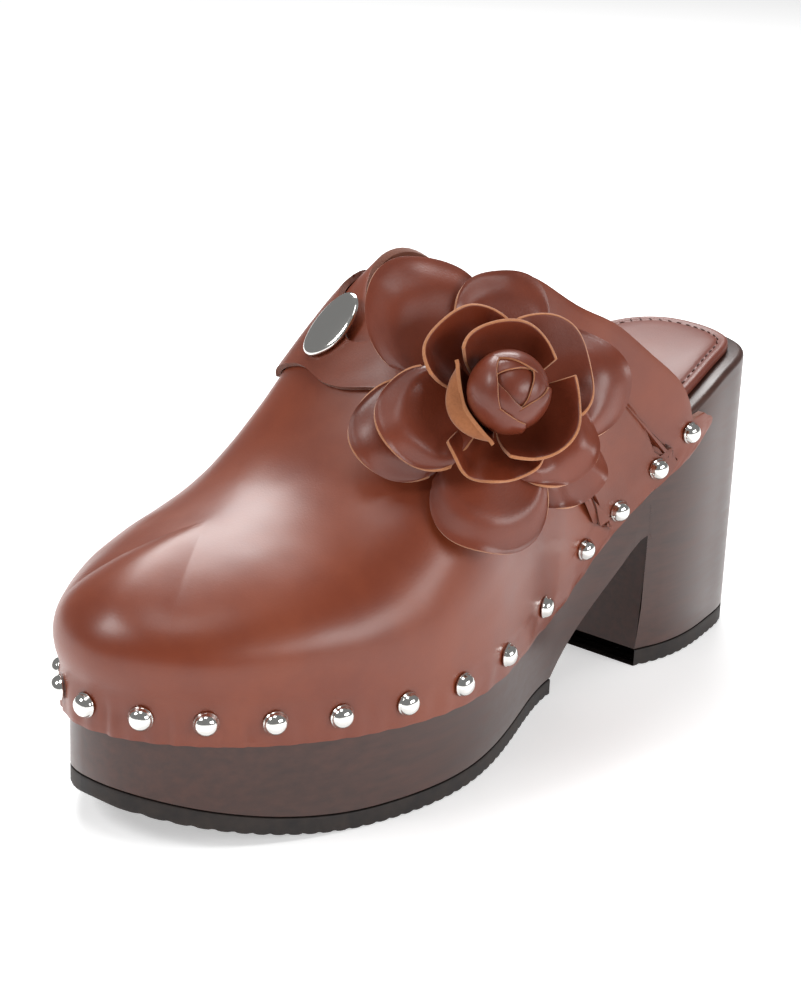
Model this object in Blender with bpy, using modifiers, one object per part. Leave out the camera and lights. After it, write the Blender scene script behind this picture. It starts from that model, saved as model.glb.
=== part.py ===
# Platform clog: one left shoe, toe to -Y, its outer (lateral) side to +X, standing on Z = 0.
# The origin is on the floor under the middle of the heel. All lengths are in metres.

import math
from collections import namedtuple

import bmesh
import bpy
import numpy as np
from mathutils import Matrix, Vector

# Driving dimensions of the last and the sole
LENGTH = 0.254
BALL_WIDTH = 0.0876
HEEL_HEIGHT = 0.0912
PLATFORM_HEIGHT = 0.039
TOE_RISE = 0.0041
TOE_SPRING = 0.0105
TOE_LEAN = -0.0064
TREAD = 0.0052
HEEL_TREAD = 0.0056
ARCH_HEIGHT = 0.0465
ARCH_POWER = 0.82
BREAST_LEAN = 0.0015
RIM_ROUND = 0.0018
RIM_ANGLE = 40

# Driving dimensions of the leather
VAMP_HEIGHT = 0.100
WALL = 0.0020
FLAP = 0.0120
BAND_WALL = 0.0017
TOE_BULGE = 0.0036
SIDE_BULGE = 0.0012
INSOLE_THICKNESS = 0.0030
INSOLE_INSET = 0.0052
INSOLE_ROUND = 0.0012
INSOLE_TIP_POWER = 0.7

# Metal and flower
STUD_RADIUS = 0.00325
STUD_HEIGHT = 0.0028
PLAQUE_LENGTH = 0.020
PLAQUE_WIDTH = 0.014
PLAQUE_WALL = 0.0014
PETAL_WALL = 0.0013
FLOWER_RADIUS = 0.0430
BUD_RADIUS = 0.0096
BUD_WRAP = 50
BUD_NECK = 0.0091
CORE_RADIUS = 0.0050
CORE_SETTLE = 0.0007

# Clearances between pieces that touch
SEAT_GAP = 0.0003
LEATHER_GAP = 0.0004
STUD_GAP = 0.0006

# Stations run from 0 at the back of the heel to 1 at the tip of the toe.
REST_STATION = 0.125
BREAST_STATION = 0.247
TREAD_END_STATION = 0.392
SPRING_STATION = 0.78
TOE_RISE_STATION = 0.65
FAN_STATION = 0.55
TOE_RIDGE_STATION = 0.85
BULGE_STATION = 0.60
BULGE_LENGTH = 0.35

# Outline of the sole: half widths as shares of the ball width.
Plan = namedtuple("Plan", "station lateral medial")
PLAN = [
    Plan(0.000, 0.000, 0.000),
    Plan(0.030, 0.268, 0.212),
    Plan(0.100, 0.342, 0.326),
    Plan(0.220, 0.356, 0.368),
    Plan(0.360, 0.256, 0.310),
    Plan(0.500, 0.372, 0.366),
    Plan(0.640, 0.506, 0.474),
    Plan(0.760, 0.500, 0.496),
    Plan(0.870, 0.400, 0.420),
    Plan(0.950, 0.258, 0.262),
    Plan(0.985, 0.140, 0.150),
    Plan(1.000, 0.000, 0.000),
]

# Footbed: how much of the way from platform to heel height each station has climbed.
Bed = namedtuple("Bed", "station climb")
BED = [
    Bed(0.00, 1.000),
    Bed(0.10, 0.925),
    Bed(0.20, 0.745),
    Bed(0.25, 0.590),
    Bed(0.30, 0.385),
    Bed(0.35, 0.160),
    Bed(0.40, 0.025),
    Bed(0.46, 0.000),
    Bed(0.70, 0.000),
    Bed(1.00, 0.000),
]

# Ridge of the vamp: height over the footbed as a share of the vamp height, sideways place as a share
# of the ball width, and the two powers that shape the section below it.
Ridge = namedtuple("Ridge", "station height across power root")
RIDGE = [
    Ridge(0.15, 1.060, -0.010, 2.4, 2.3),
    Ridge(0.40, 1.090, -0.020, 2.4, 2.3),
    Ridge(0.48, 1.055, -0.025, 2.4, 2.3),
    Ridge(0.54, 0.970, -0.030, 2.4, 2.3),
    Ridge(0.62, 0.783, -0.035, 2.3, 2.2),
    Ridge(0.70, 0.535, -0.040, 2.2, 2.1),
    Ridge(0.78, 0.400, -0.045, 2.1, 2.1),
    Ridge(0.85, 0.345, -0.050, 2.1, 2.2),
]

# Lines that run up the vamp from its lower edge (rise -1) past the sole's rim (0) to the ridge (1):
# the collar, and the rear and front edge of the instep band, each as a station.
Guide = namedtuple("Guide", "rise collar rear front")
GUIDES = [
    Guide(-1.00, 0.200, 0.235, 0.324),
    Guide(-0.75, 0.166, 0.224, 0.318),
    Guide(-0.50, 0.160, 0.227, 0.318),
    Guide(-0.25, 0.174, 0.238, 0.322),
    Guide(0.00, 0.200, 0.254, 0.335),
    Guide(0.06, 0.222, 0.278, 0.354),
    Guide(0.13, 0.256, 0.306, 0.392),
    Guide(0.21, 0.290, 0.340, 0.458),
    Guide(0.30, 0.325, 0.380, 0.534),
    Guide(0.40, 0.370, 0.433, 0.598),
    Guide(0.52, 0.430, 0.496, 0.630),
    Guide(0.66, 0.514, 0.564, 0.648),
    Guide(0.82, 0.574, 0.609, 0.662),
    Guide(1.00, 0.612, 0.640, 0.678),
]
COLLAR_STEPS = 2
BAND_STEPS = 4
VAMP_STEPS = 24
BAND_END_ROW = 1

# Stud stations along the vamp's lower edge, from the toe back.
FRONT_STUD_RISE = -0.46
REAR_STUD_RISE = -0.30
TOE_STUD_STATION = 1.0
LATERAL_STUDS = (0.983, 0.944, 0.890, 0.828, 0.755, 0.678, 0.588, 0.458, 0.350, 0.305, 0.254, 0.203)
MEDIAL_STUDS = (0.988, 0.955, 0.908, 0.846, 0.774, 0.696, 0.612, 0.528, 0.444, 0.365, 0.305, 0.254, 0.203)
BAND_STUD_STATIONS = (0.24, 0.32)
STUD_STEP_STATION = 0.36
STUD_STEP_LENGTH = 0.24

# Plaque: its place on the band, as a station and a rise on the medial side
PLAQUE_STATION = 0.628
PLAQUE_RISE = 0.86

# Flower: where its core stands on the vamp, and the way it faces
FLOWER_STATION = 0.600
FLOWER_RISE = 0.465
FLOWER_FACING = Vector((0.70, -0.54, 0.47)).normalized()

# Petals: azimuth from the flower's right in degrees, half width in degrees, reach as a share of the
# flower's radius, height of the root over the vamp, rise of the tip, and the lift of each side.
Petal = namedtuple("Petal", "name azimuth spread reach root tip left right")
PETALS = [
    Petal("outer_1", 120, 35, 1.06, 0.0068, 0.0060, -0.0012, -0.0004),
    Petal("outer_2", 78, 32, 0.86, 0.0068, 0.0060, 0.0012, 0.0012),
    Petal("outer_3", 15, 42, 0.96, 0.0068, 0.0050, 0.0012, -0.0012),
    Petal("outer_4", 322, 32, 0.86, 0.0068, 0.0050, -0.0012, -0.0012),
    Petal("outer_5", 266, 38, 0.90, 0.0080, 0.0100, 0.0012, 0.0012),
    Petal("outer_6", 194, 35, 0.84, 0.0080, 0.0105, -0.0012, -0.0012),
    Petal("middle_1", 190, 42, 0.70, 0.0124, 0.0142, -0.0014, 0.0014),
    Petal("middle_2", 120, 40, 0.66, 0.0124, 0.0142, -0.0014, 0.0014),
    Petal("middle_3", 45, 42, 0.68, 0.0124, 0.0142, -0.0014, 0.0014),
    Petal("middle_4", 325, 42, 0.68, 0.0124, 0.0142, -0.0014, 0.0014),
    Petal("middle_5", 255, 40, 0.60, 0.0124, 0.0142, -0.0014, 0.0014),
    Petal("inner_1", 195, 64, 0.46, 0.0166, 0.0228, -0.0013, 0.0013),
    Petal("inner_2", 75, 64, 0.46, 0.0166, 0.0228, -0.0013, 0.0013),
    Petal("inner_3", 315, 64, 0.46, 0.0166, 0.0228, -0.0013, 0.0013),
]
BUD_HEIGHT = 0.0298
PETAL_GRID = 5
PETAL_ROUND = 0.80
PETAL_TAPER = 0.10
PETAL_CUP = 1.6

STATION_COUNT = 48


def curve(knots, values):
    # A smooth curve through the points: a natural cubic spline, held level beyond its ends.
    x = np.array(knots, float)
    y = np.array(values, float)
    step = np.diff(x)
    last = len(x) - 1
    system = np.eye(len(x))
    right = np.zeros(len(x))
    for i in range(1, last):
        system[i, i - 1] = step[i - 1]
        system[i, i] = 2 * (step[i - 1] + step[i])
        system[i, i + 1] = step[i]
        right[i] = 6 * ((y[i + 1] - y[i]) / step[i] - (y[i] - y[i - 1]) / step[i - 1])
    bend = np.linalg.solve(system, right)

    def at(value):
        value = min(max(value, x[0]), x[-1])
        i = min(max(int(np.searchsorted(x, value)) - 1, 0), last - 1)
        a = (x[i + 1] - value) / step[i]
        b = (value - x[i]) / step[i]
        cubic = ((a ** 3 - a) * bend[i] + (b ** 3 - b) * bend[i + 1]) * step[i] ** 2 / 6
        return float(a * y[i] + b * y[i + 1] + cubic)

    return at


def smooth(value):
    value = min(max(value, 0.0), 1.0)
    return value * value * (3 - 2 * value)


def turn_of(station):
    # The outline is followed by an angle: 0 at the heel's back, pi at the toe, 2 pi back again.
    return math.acos(1 - 2 * min(max(station, 0.0), 1.0))


def station_of(turn):
    return (1 - math.cos(turn)) / 2


# The plan, footbed and ridge as smooth functions of the station
plan_turns = [turn_of(row.station) for row in PLAN]
lateral_share = curve(plan_turns, [row.lateral for row in PLAN])
medial_share = curve(plan_turns, [row.medial for row in PLAN])
bed_climb = curve([row.station for row in BED], [row.climb for row in BED])
ridge_height = curve([row.station for row in RIDGE], [row.height for row in RIDGE])
ridge_across = curve([row.station for row in RIDGE], [row.across for row in RIDGE])
ridge_power = curve([row.station for row in RIDGE], [row.power for row in RIDGE])
ridge_root = curve([row.station for row in RIDGE], [row.root for row in RIDGE])


def axis_x(station):
    return TOE_LEAN * station ** 4


def place_y(station):
    return (REST_STATION - station) * LENGTH


def half_width(turn, side):
    share = lateral_share(turn) if side > 0 else medial_share(turn)
    return share * BALL_WIDTH


def outline(turn, out=0.0):
    # A point of the sole's outline, moved outwards by a distance.
    def on_line(angle):
        angle = angle % (2 * math.pi)
        side = 1 if angle <= math.pi else -1
        half_turn = angle if side > 0 else 2 * math.pi - angle
        station = station_of(half_turn)
        return Vector((axis_x(station) + side * half_width(half_turn, side), place_y(station)))

    small = 0.01
    along = (on_line(turn + small) - on_line(turn - small)).normalized()
    return on_line(turn) + Vector((-along.y, along.x)) * out


def bed_height(station):
    toe = max(0.0, (station - TOE_RISE_STATION) / (1 - TOE_RISE_STATION))
    climb = (HEEL_HEIGHT - PLATFORM_HEIGHT) * bed_climb(station)
    return PLATFORM_HEIGHT + climb + TOE_RISE * toe ** 2


def floor_height(station):
    toe = max(0.0, (station - SPRING_STATION) / (1 - SPRING_STATION))
    return TOE_SPRING * toe ** 2


def arch_height(station):
    # Underside of the wood between the heel's breast and the forefoot tread.
    run = (TREAD_END_STATION - station) / (TREAD_END_STATION - BREAST_STATION)
    run = min(max(run, 0.0), 1.0)
    return TREAD + (ARCH_HEIGHT - TREAD) * (1 - (1 - run) ** ARCH_POWER)


def new_collection(name):
    collection = bpy.data.collections.new(name)
    bpy.context.scene.collection.children.link(collection)
    return collection


def material(name, colour, roughness, metallic=0.0):
    made = bpy.data.materials.new(name)
    made.use_nodes = True
    shader = made.node_tree.nodes["Principled BSDF"]
    shader.inputs["Base Color"].default_value = (*colour, 1)
    shader.inputs["Roughness"].default_value = roughness
    shader.inputs["Metallic"].default_value = metallic
    made.diffuse_color = (*colour, 1)
    return made


def finish(bm, name, paint, sharp=35):
    bmesh.ops.recalc_face_normals(bm, faces=bm.faces)
    mesh = bpy.data.meshes.new(name)
    bm.to_mesh(mesh)
    bm.free()
    mesh.shade_smooth()
    mesh.set_sharp_from_angle(angle=math.radians(sharp))
    made = bpy.data.objects.new(name, mesh)
    mesh.materials.append(paint)
    clog.objects.link(made)
    return made


def bevel_marked(made, width):
    bevel = made.modifiers.new("rounded edge", "BEVEL")
    bevel.limit_method = "WEIGHT"
    bevel.width = width
    bevel.segments = 2


def weigh_rim(bm, rows):
    # Mark the sharp edges around the top of a lofted piece for its bevel.
    bmesh.ops.recalc_face_normals(bm, faces=bm.faces)
    bm.normal_update()
    top = {vert for row in rows for vert in row["top"]}
    layer = bm.edges.layers.float.new("bevel_weight_edge")
    for edge in bm.edges:
        if set(edge.verts) <= top and edge.calc_face_angle(0) > math.radians(RIM_ANGLE):
            edge[layer] = 1.0


# A cut across the sole: stations of its top and bottom points, and their heights
Cut = namedtuple("Cut", "top bottom high low")


def loft_cuts(bm, cuts, top_width, bottom_width):
    # Each cut has four corners; a cut at the very tip of heel or toe has two.
    rows = []
    for cut in cuts:
        row = {}
        for key, station, height, width in (
            ("top", cut.top, cut.high, top_width),
            ("low", cut.bottom, cut.low, bottom_width),
        ):
            ends = [width(station, side) for side in (-1, 1)]
            if ends[1].x - ends[0].x < 1e-6:
                vert = bm.verts.new((ends[0].x, ends[0].y, height))
                row[key] = (vert, vert)
            else:
                row[key] = tuple(bm.verts.new((end.x, end.y, height)) for end in ends)
        rows.append(row)

    def face(*corners):
        unique = list(dict.fromkeys(corners))
        if len(unique) > 2:
            bm.faces.new(unique)

    for a, b in zip(rows, rows[1:]):
        face(a["top"][0], a["top"][1], b["top"][1], b["top"][0])
        face(a["low"][0], b["low"][0], b["low"][1], a["low"][1])
        for side in (0, 1):
            face(a["top"][side], b["top"][side], b["low"][side])
            face(a["top"][side], b["low"][side], a["low"][side])
    for row in (rows[0], rows[-1]):
        face(row["top"][0], row["top"][1], row["low"][1], row["low"][0])
    return rows


def on_outline(station, side):
    half_turn = turn_of(station)
    return Vector((axis_x(station) + side * half_width(half_turn, side), place_y(station)))


def stations(first, last, extra=()):
    inner = [station_of(math.pi * i / STATION_COUNT) for i in range(STATION_COUNT + 1)]
    kept = [s for s in inner if first + 0.0005 < s < last - 0.0005]
    return sorted([first, last, *kept, *extra])


def make_wood_sole(paint):
    lean = BREAST_LEAN / LENGTH
    cuts = []
    for station in stations(0.0, 1.0):
        if BREAST_STATION - 3.5 * lean < station < BREAST_STATION + 2 * lean:
            continue
        if station < BREAST_STATION:
            low = HEEL_TREAD
        elif station < TREAD_END_STATION:
            low = arch_height(station)
        else:
            low = TREAD + floor_height(station)
        cuts.append(Cut(station, station, bed_height(station), low))
    heel_top = BREAST_STATION - 3 * lean
    arch_top = BREAST_STATION + lean
    end = TREAD_END_STATION
    heel_edge = Cut(heel_top, BREAST_STATION + lean, bed_height(heel_top), HEEL_TREAD)
    breast_top = Cut(arch_top, BREAST_STATION - lean, bed_height(arch_top), ARCH_HEIGHT)
    arch_end = Cut(end, end, bed_height(end), TREAD)
    cuts = sorted([*cuts, heel_edge, breast_top, arch_end])
    bm = bmesh.new()
    rows = loft_cuts(bm, cuts, on_outline, on_outline)
    weigh_rim(bm, rows)
    made = finish(bm, "wood_sole", paint)
    bevel_marked(made, RIM_ROUND)


def make_tread(name, paint, first, last, high, low):
    cuts = [Cut(s, s, high(s), low(s)) for s in stations(first, last)]
    bm = bmesh.new()
    loft_cuts(bm, cuts, on_outline, on_outline)
    finish(bm, name, paint)


def make_insole(paint):
    # The same outline drawn in from the rim, lying on the footbed.
    inset = INSOLE_INSET / LENGTH
    tip_steps = (0.0008, 0.0030, 0.0070)

    def width(station, side):
        share = (station - inset) / (1 - 2 * inset)
        half_turn = turn_of(share)
        half = half_width(half_turn, side) - INSOLE_INSET * math.sin(half_turn) ** INSOLE_TIP_POWER
        if share < 1e-6 or share > 1 - 1e-6:
            half = 0.0
        return Vector((axis_x(station) + side * half, place_y(station)))

    tips = [inset + step for step in tip_steps] + [1 - inset - step for step in tip_steps]
    cuts = []
    for station in stations(inset, 1 - inset, tips):
        low = bed_height(station) + SEAT_GAP
        cuts.append(Cut(station, station, low + INSOLE_THICKNESS, low))
    bm = bmesh.new()
    rows = loft_cuts(bm, cuts, width, width)
    weigh_rim(bm, rows)
    made = finish(bm, "insole", paint)
    bevel_marked(made, INSOLE_ROUND)


def ridge_station(station):
    # Towards the toe the sections fan out, and their ridge points fall behind.
    past = max(0.0, (station - FAN_STATION) / (1 - FAN_STATION))
    return station - (1 - TOE_RIDGE_STATION) * past ** 2


def ridge_point_height(at):
    return bed_height(at) + VAMP_HEIGHT * ridge_height(at)


def ridge_point(station):
    at = ridge_station(station)
    return Vector((axis_x(at) + ridge_across(at) * BALL_WIDTH, place_y(at), ridge_point_height(at)))


def skin(turn, rise):
    # The outside of the vamp. Below the rim it hangs straight down; above it the section is a
    # quarter of a rounded arch from the outline to the ridge.
    side = 1 if turn <= math.pi else -1
    half_turn = turn if side > 0 else 2 * math.pi - turn
    station = station_of(half_turn)
    foot = outline(turn, LEATHER_GAP + WALL)
    if rise <= 0:
        return Vector((foot.x, foot.y, bed_height(station) + FLAP * rise))
    ridge = ridge_point(station)
    back = math.cos(rise * math.pi / 2)
    power = ridge_power(station)
    root = ridge_root(station)
    arch = max(0.0, 1 - back ** power) ** (1 / root)
    spot = foot.lerp(ridge.xy, 1 - back)
    # Far from the ridge the height follows the footbed, near it the ridge line's own slope.
    at = ridge_station(station)
    slope = (ridge_point_height(at - 0.01) - ridge_point_height(at + 0.01)) / (0.02 * LENGTH)
    behind = spot.y - ridge.y
    base = bed_height(station)
    height = base + (ridge.z - base) * arch + slope * behind * (1 - back ** 2)
    swell = 6.75 * rise * (1 - rise) ** 2
    amount = SIDE_BULGE + (TOE_BULGE - SIDE_BULGE) * smooth((station - BULGE_STATION) / BULGE_LENGTH)
    push = outline(turn, 1.0) - outline(turn)
    spot = spot + push * amount * swell
    return Vector((spot.x, spot.y, height))


def skin_normal(turn, rise):
    small = 0.01
    if rise > 0.97:
        both = [skin_normal(turn, 0.97), skin_normal(2 * math.pi - turn, 0.97)]
        return (both[0] + both[1]).normalized()
    around = skin(turn + small, rise) - skin(turn - small, rise)
    up = skin(turn, rise + small) - skin(turn, rise - small)
    return up.cross(around).normalized()


def guide_turns(guide, name):
    return turn_of(getattr(guide, name))


def column_turns(guide):
    # Turns of one row of the vamp's grid, from the collar to the toe.
    marks = [guide_turns(guide, name) for name in ("collar", "rear", "front")] + [math.pi]
    counts = (COLLAR_STEPS, BAND_STEPS, VAMP_STEPS)
    turns = [marks[0]]
    for start, stop, count in zip(marks, marks[1:], counts):
        turns += [start + (stop - start) * (i + 1) / count for i in range(count)]
    return turns


def skin_grid(bm, rows, first, last, lift):
    # Faces between the given columns of the vamp's grid, on both sides of the foot.
    verts = {}

    def vert(side, row, column):
        turn = column_turns(GUIDES[row])[column]
        on_ridge = row == len(GUIDES) - 1
        at_toe = column == COLLAR_STEPS + BAND_STEPS + VAMP_STEPS
        key = (0 if on_ridge or at_toe else side, row, column)
        if key not in verts:
            angle = turn if side > 0 else 2 * math.pi - turn
            rise = GUIDES[row].rise
            place = skin(angle, rise)
            if lift:
                place = place + skin_normal(angle, rise) * lift
            verts[key] = bm.verts.new(place)
        return verts[key]

    for side in (1, -1):
        for row in rows:
            for column in range(first, last):
                corners = [
                    vert(side, row, column),
                    vert(side, row, column + 1),
                    vert(side, row + 1, column + 1),
                    vert(side, row + 1, column),
                ]
                corners = list(dict.fromkeys(corners))
                bm.faces.new(corners if side > 0 else corners[::-1])


def make_upper(paint):
    bm = bmesh.new()
    last = COLLAR_STEPS + BAND_STEPS + VAMP_STEPS
    skin_grid(bm, range(len(GUIDES) - 1), 0, last, 0.0)
    made = finish(bm, "upper", paint, 60)
    shell = made.modifiers.new("wall", "SOLIDIFY")
    shell.thickness = WALL
    shell.offset = -1


def make_band(paint):
    bm = bmesh.new()
    first = COLLAR_STEPS
    rows = range(BAND_END_ROW, len(GUIDES) - 1)
    skin_grid(bm, rows, first, first + BAND_STEPS, LEATHER_GAP)
    made = finish(bm, "instep_band", paint, 60)
    shell = made.modifiers.new("wall", "SOLIDIFY")
    shell.thickness = BAND_WALL
    shell.offset = 1


def make_studs(paint):
    # Each stud is a turned dome, standing level on the vamp's lower edge.
    profile = (
        (1.00, 0.00),
        (0.97, 0.25),
        (0.80, 0.62),
        (0.45, 0.92),
        (0.00, 1.00),
    )
    bm = bmesh.new()
    points = [bm.verts.new((STUD_RADIUS * out, 0, STUD_HEIGHT * up)) for out, up in profile]
    points.append(bm.verts.new((0, 0, 0)))
    for a, b in zip(points, points[1:] + points[:1]):
        bm.edges.new((a, b))
    bmesh.ops.spin(
        bm, geom=bm.verts[:] + bm.edges[:], cent=(0, 0, 0), axis=(0, 0, 1),
        angle=math.tau, steps=10, use_duplicate=False, use_merge=True,
    )
    bmesh.ops.remove_doubles(bm, verts=bm.verts, dist=0.00005)
    bmesh.ops.recalc_face_normals(bm, faces=bm.faces)
    dome = bpy.data.meshes.new("stud")
    bm.to_mesh(dome)
    bm.free()
    dome.shade_smooth()
    dome.set_sharp_from_angle(angle=math.radians(50))
    dome.materials.append(paint)

    sides = (("lateral", 1, LATERAL_STUDS), ("medial", -1, MEDIAL_STUDS))
    places = [("stud_toe", math.pi * TOE_STUD_STATION, TOE_STUD_STATION)]
    for side_name, side, row in sides:
        for number, station in enumerate(row, 1):
            turn = turn_of(station)
            turn = turn if side > 0 else 2 * math.pi - turn
            places.append((f"stud_{side_name}_{number:02d}", turn, station))
    for name, turn, station in places:
        made = bpy.data.objects.new(name, dome)
        lift = STUD_GAP
        if BAND_STUD_STATIONS[0] < station < BAND_STUD_STATIONS[1]:
            lift += LEATHER_GAP + BAND_WALL
        ahead = smooth((station - STUD_STEP_STATION) / STUD_STEP_LENGTH)
        seat = skin(turn, REAR_STUD_RISE + (FRONT_STUD_RISE - REAR_STUD_RISE) * ahead)
        out = (outline(turn, 1.0) - outline(turn)).to_3d()
        turned = out.to_track_quat("Z", "Y").to_matrix().to_4x4()
        made.matrix_world = Matrix.Translation(seat + out * lift) @ turned
        clog.objects.link(made)


def make_plaque(paint):
    # A plain oval plate that follows the band.
    turn = 2 * math.pi - turn_of(PLAQUE_STATION)
    small = 0.01
    around = (skin(turn + small, PLAQUE_RISE) - skin(turn - small, PLAQUE_RISE)).length / (2 * small)
    up = (skin(turn, PLAQUE_RISE + small) - skin(turn, PLAQUE_RISE - small)).length / (2 * small)
    lift = 2 * LEATHER_GAP + BAND_WALL
    bm = bmesh.new()
    count = 16

    def place(share, angle):
        at_turn = turn + share * PLAQUE_LENGTH / 2 * math.cos(angle) / around
        at_rise = PLAQUE_RISE + share * PLAQUE_WIDTH / 2 * math.sin(angle) / up
        if at_rise > 1:
            at_rise = 2 - at_rise
            at_turn = 2 * math.pi - at_turn
        return skin(at_turn, at_rise) + skin_normal(at_turn, at_rise) * lift

    middle = bm.verts.new(place(0, 0))
    rings = []
    for share in (0.55, 1.0):
        rings.append([bm.verts.new(place(share, math.tau * i / count)) for i in range(count)])
    for i in range(count):
        j = (i + 1) % count
        bm.faces.new((middle, rings[0][i], rings[0][j]))
        bm.faces.new((rings[0][i], rings[1][i], rings[1][j], rings[0][j]))
    bmesh.ops.recalc_face_normals(bm, faces=bm.faces)
    bm.normal_update()
    outwards = skin_normal(turn, PLAQUE_RISE)
    facing = sum(face.normal.dot(outwards) for face in bm.faces)
    if facing < 0:
        bmesh.ops.reverse_faces(bm, faces=bm.faces)
    mesh = bpy.data.meshes.new("plaque")
    bm.to_mesh(mesh)
    bm.free()
    mesh.shade_smooth()
    mesh.materials.append(paint)
    made = bpy.data.objects.new("plaque", mesh)
    clog.objects.link(made)
    shell = made.modifiers.new("wall", "SOLIDIFY")
    shell.thickness = PLAQUE_WALL
    shell.offset = 1


def flower_frame():
    turn = turn_of(FLOWER_STATION)
    seat = skin(turn, FLOWER_RISE)
    out = FLOWER_FACING
    right = Vector((0, 0, 1)).cross(out).normalized()
    up = out.cross(right)
    return seat, right, up, out


def petal_point(petal, across, along):
    # across runs -1..1 over the petal's width, along 0..1 from its root to its tip.
    seat, right, up, out = flower_frame()
    round_tip = math.sqrt(max(0.0, 1 - (PETAL_ROUND * across) ** 2))
    reach = FLOWER_RADIUS * petal.reach * round_tip
    start = CORE_RADIUS + SEAT_GAP
    radius = start + (reach - start) * along
    spread = petal.spread * (1 - PETAL_TAPER * along)
    angle = math.radians(petal.azimuth + spread * across)
    lift = petal.left * (1 - across) / 2 + petal.right * (1 + across) / 2
    cup = (petal.tip - petal.root) * along ** PETAL_CUP
    height = petal.root + cup + lift
    flat = right * math.cos(angle) + up * math.sin(angle)
    return seat + flat * radius + out * height


def make_petal(petal, paint):
    bm = bmesh.new()
    steps = PETAL_GRID
    grid = [
        [bm.verts.new(petal_point(petal, 2 * i / steps - 1, j / steps)) for i in range(steps + 1)]
        for j in range(steps + 1)
    ]
    for j in range(steps):
        for i in range(steps):
            bm.faces.new((grid[j][i], grid[j][i + 1], grid[j + 1][i + 1], grid[j + 1][i]))
    made = finish(bm, f"petal_{petal.name}", paint, 60)
    shell = made.modifiers.new("leather", "SOLIDIFY")
    shell.thickness = PETAL_WALL
    shell.offset = 0


def make_bud(paint):
    # The ball at the flower's middle on its short core.
    seat, right, up, out = flower_frame()
    bm = bmesh.new()
    steps = 7
    profile = [(0.0, BUD_HEIGHT + BUD_RADIUS)]
    for i in range(1, steps):
        angle = math.radians(90 - (90 + BUD_WRAP) * i / (steps - 1))
        profile.append((BUD_RADIUS * math.cos(angle), BUD_HEIGHT + BUD_RADIUS * math.sin(angle)))
    profile.append((CORE_RADIUS, BUD_HEIGHT - BUD_NECK))
    # The core's flat end stands just clear of the band, which slopes and curves away under it.
    across = out.dot(skin_normal(turn_of(FLOWER_STATION), FLOWER_RISE))
    slope = math.sqrt(1 - across ** 2) / across
    foot = (LEATHER_GAP + BAND_WALL + SEAT_GAP) / across + CORE_RADIUS * slope - CORE_SETTLE
    profile.append((CORE_RADIUS, foot))
    profile.append((0.0, foot))
    points = [bm.verts.new((x, 0, z)) for x, z in profile]
    for a, b in zip(points, points[1:]):
        bm.edges.new((a, b))
    bmesh.ops.spin(
        bm, geom=bm.verts[:] + bm.edges[:], cent=(0, 0, 0), axis=(0, 0, 1),
        angle=math.tau, steps=16, use_duplicate=False, use_merge=True,
    )
    bmesh.ops.remove_doubles(bm, verts=bm.verts, dist=0.00005)
    made = finish(bm, "flower_bud", paint)
    frame = Matrix((right, up, out)).transposed().to_4x4()
    made.matrix_world = Matrix.Translation(seat) @ frame


for old in list(bpy.data.objects):
    bpy.data.objects.remove(old, do_unlink=True)

clog = new_collection("platform_clog")

wood = material("dark wood", (0.045, 0.018, 0.012), 0.35)
rubber = material("black rubber", (0.02, 0.016, 0.014), 0.6)
leather = material("brown leather", (0.22, 0.055, 0.02), 0.4)
insole_leather = material("insole leather", (0.20, 0.07, 0.05), 0.45)
band_leather = material("band leather", (0.17, 0.05, 0.03), 0.4)
flower_leather = material("flower leather", (0.24, 0.07, 0.03), 0.4)
steel = material("polished metal", (0.75, 0.75, 0.76), 0.12, 1.0)

make_wood_sole(wood)
make_tread(
    "forefoot_tread", rubber, TREAD_END_STATION, 1.0,
    lambda s: TREAD + floor_height(s) - SEAT_GAP, floor_height,
)
make_tread(
    "heel_tread", rubber, 0.0, BREAST_STATION + BREAST_LEAN / LENGTH,
    lambda s: HEEL_TREAD - SEAT_GAP, lambda s: 0.0,
)
make_insole(insole_leather)
make_upper(leather)
make_band(band_leather)
make_studs(steel)
make_plaque(steel)
for petal_row in PETALS:
    make_petal(petal_row, flower_leather)
make_bud(flower_leather)
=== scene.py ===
# Platform clog: the dressed model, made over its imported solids. Everything is in metres.
# Stations run along the sole from the back of the heel (0) to the tip of the toe (1). Turns follow the
# sole's outline: 0 at the heel, pi at the toe along the outer side, 2 pi back along the inner side.
import functools
import math

import bmesh
import bpy
import numpy as np
from collections import namedtuple
from mathutils import Matrix, Vector, noise


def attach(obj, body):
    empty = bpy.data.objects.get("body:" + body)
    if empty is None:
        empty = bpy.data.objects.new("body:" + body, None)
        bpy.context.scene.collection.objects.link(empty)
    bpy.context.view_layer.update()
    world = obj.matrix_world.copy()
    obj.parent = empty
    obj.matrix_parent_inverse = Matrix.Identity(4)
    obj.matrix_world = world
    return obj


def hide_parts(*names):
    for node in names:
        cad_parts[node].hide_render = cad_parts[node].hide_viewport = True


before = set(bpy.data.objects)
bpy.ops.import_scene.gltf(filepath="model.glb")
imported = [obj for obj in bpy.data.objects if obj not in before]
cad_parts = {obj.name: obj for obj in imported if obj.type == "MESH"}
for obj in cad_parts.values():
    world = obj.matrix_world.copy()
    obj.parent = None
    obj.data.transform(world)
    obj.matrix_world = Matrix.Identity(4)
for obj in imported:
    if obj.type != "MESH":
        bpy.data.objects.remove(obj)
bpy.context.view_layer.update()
print("frame loaded", len(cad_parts), "nodes")

last = {
    "length": 0.254,
    "ballWidth": 0.0876,
    "heelHeight": 0.0912,
    "platformHeight": 0.039,
    "toeRise": 0.0041,
    "toeSpring": 0.0105,
    "toeLean": -0.0064,
    "restStation": 0.125,
    "vampHeight": 0.100,
    "flap": 0.0120,          # how far the vamp hangs down the sole's side
    "wall": 0.0020,
    "gap": 0.0004,
    "toeBulge": 0.0036,
    "sideBulge": 0.0012,
}

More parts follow.
